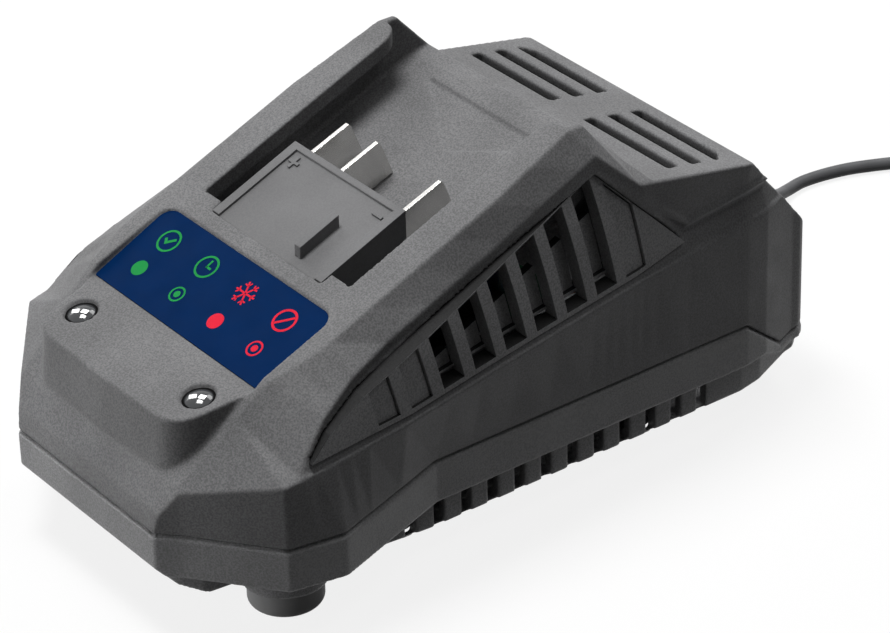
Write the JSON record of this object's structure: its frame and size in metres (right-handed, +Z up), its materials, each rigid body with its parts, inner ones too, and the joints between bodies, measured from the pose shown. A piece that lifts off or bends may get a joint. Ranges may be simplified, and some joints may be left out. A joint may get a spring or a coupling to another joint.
{
  "type": "power tool battery charger",
  "caption": "Desktop charger for slide-in tool battery packs: black wedge-shaped housing with undercut rails, blade contacts, side vent grilles, status lamps and a mains cord with plug.",
  "frame": {"origin": "on the table plane, under the middle of the housing", "axes": "+X to the charger's right seen from its front, +Y from the front with the lamps to the back with the cord, +Z up"},
  "size_m": [0.1345, 0.3399, 0.0949],
  "materials": {
    "shell_plastic": "fine-grained moulded plastic, half matt",
    "grille_plastic": "fine-grained moulded plastic, half matt",
    "terminal_plastic": "smooth moulded plastic",
    "label_film": "printed film, satin",
    "lamp_lens": "clear smoked plastic, glossy",
    "lamp_body": "clear resin",
    "contact_metal": "plated, satin",
    "board": "solder mask",
    "ferrite": "fired ceramic, matt",
    "copper": "enamelled wire",
    "capacitor_sleeve": "shrink sleeve",
    "heat_sink": "as extruded",
    "epoxy": "moulded epoxy",
    "fuse_glass": "clear",
    "foot_rubber": "matt",
    "screw_steel": "zinc plated",
    "relief_rubber": "satin",
    "cord_sheath": "smooth, satin",
    "tie": "soft band",
    "plug_plastic": "moulded, satin"
  },
  "bodies": {
    "root": {"top_shell": "shell_plastic", "bottom_shell": "shell_plastic", "left_vent_grille": "grille_plastic", "right_vent_grille": "grille_plastic", "status_label": "label_film", "left_lamp_lens": "lamp_lens", "right_lamp_lens": "lamp_lens", "lamp_board": "board", "status_lamps": "lamp_body", "terminal_block": "terminal_plastic", "positive_blade": "contact_metal", "data_blade": "contact_metal", "negative_blade": "contact_metal", "circuit_board": "board", "transformer_core": "ferrite", "transformer_coil": "copper", "mains_capacitor": "capacitor_sleeve", "output_capacitors": "capacitor_sleeve", "heat_sink": "heat_sink", "power_transistor": "epoxy", "line_choke": "copper", "mains_fuse": "fuse_glass", "front_left_foot": "foot_rubber", "front_right_foot": "foot_rubber", "rear_left_foot": "foot_rubber", "rear_right_foot": "foot_rubber", "housing_screws": "screw_steel", "strain_relief": "relief_rubber", "cord_tube": "cord_sheath", "cord_coil": "cord_sheath", "cord_end": "cord_sheath", "cord_tie": "tie", "mains_plug": "plug_plastic", "plug_pins": "contact_metal"}
  },
  "joints": []
}
